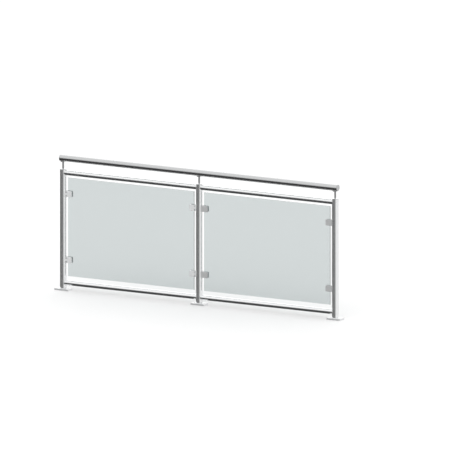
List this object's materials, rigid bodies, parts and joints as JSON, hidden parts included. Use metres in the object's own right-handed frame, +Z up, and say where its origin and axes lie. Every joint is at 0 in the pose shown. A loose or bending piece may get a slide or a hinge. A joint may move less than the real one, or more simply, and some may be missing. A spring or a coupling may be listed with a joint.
{
  "type": "glass balustrade panel",
  "caption": "Floor-standing balustrade panel: round steel posts on base plates carry a handrail, level bars and glass panes held in clamps.",
  "frame": {"origin": "on the floor, on the axis of the middle post, at the centre of the panel's underside", "axes": "+X along the panel from the left post to the right post, +Y through it away from the viewer, +Z up"},
  "size_m": [2.12, 0.06, 0.9],
  "materials": {
    "tube": "satin, grain round the tube",
    "fitting": "satin, turned",
    "base_plate": "satin, straight grain",
    "clamp_body": "fine bead-blasted satin",
    "clamp_cover": "fine satin",
    "clamp_bolt": "plain machined",
    "gasket": "matt, grey",
    "glass": "grey-tinted laminated, polished edges"
  },
  "bodies": {
    "root": {"base_plate_left": "base_plate", "base_plate_middle": "base_plate", "base_plate_right": "base_plate", "clamp_body_left_inner_lower": "clamp_body", "clamp_body_left_inner_upper": "clamp_body", "clamp_body_left_outer_lower": "clamp_body", "clamp_body_left_outer_upper": "clamp_body", "clamp_body_right_inner_lower": "clamp_body", "clamp_body_right_inner_upper": "clamp_body", "clamp_body_right_outer_lower": "clamp_body", "clamp_body_right_outer_upper": "clamp_body", "clamp_bolts": "clamp_bolt", "clamp_cover_left_inner_lower": "clamp_cover", "clamp_cover_left_inner_upper": "clamp_cover", "clamp_cover_left_outer_lower": "clamp_cover", "clamp_cover_left_outer_upper": "clamp_cover", "clamp_cover_right_inner_lower": "clamp_cover", "clamp_cover_right_inner_upper": "clamp_cover", "clamp_cover_right_outer_lower": "clamp_cover", "clamp_cover_right_outer_upper": "clamp_cover", "clamp_gasket_left_inner_lower": "gasket", "clamp_gasket_left_inner_upper": "gasket", "clamp_gasket_left_outer_lower": "gasket", "clamp_gasket_left_outer_upper": "gasket", "clamp_gasket_right_inner_lower": "gasket", "clamp_gasket_right_inner_upper": "gasket", "clamp_gasket_right_outer_lower": "gasket", "clamp_gasket_right_outer_upper": "gasket", "glass_pane_left": "glass", "glass_pane_right": "glass", "handrail": "tube", "handrail_end_cap_left": "fitting", "handrail_end_cap_right": "fitting", "handrail_pin_left": "fitting", "handrail_pin_middle": "fitting", "handrail_pin_right": "fitting", "handrail_saddle_left": "fitting", "handrail_saddle_middle": "fitting", "handrail_saddle_right": "fitting", "lower_bar_left": "tube", "lower_bar_right": "tube", "post_cap_left": "fitting", "post_cap_middle": "fitting", "post_cap_right": "fitting", "post_left": "tube", "post_middle": "tube", "post_right": "tube", "upper_bar_left": "tube", "upper_bar_right": "tube"}
  },
  "joints": []
}
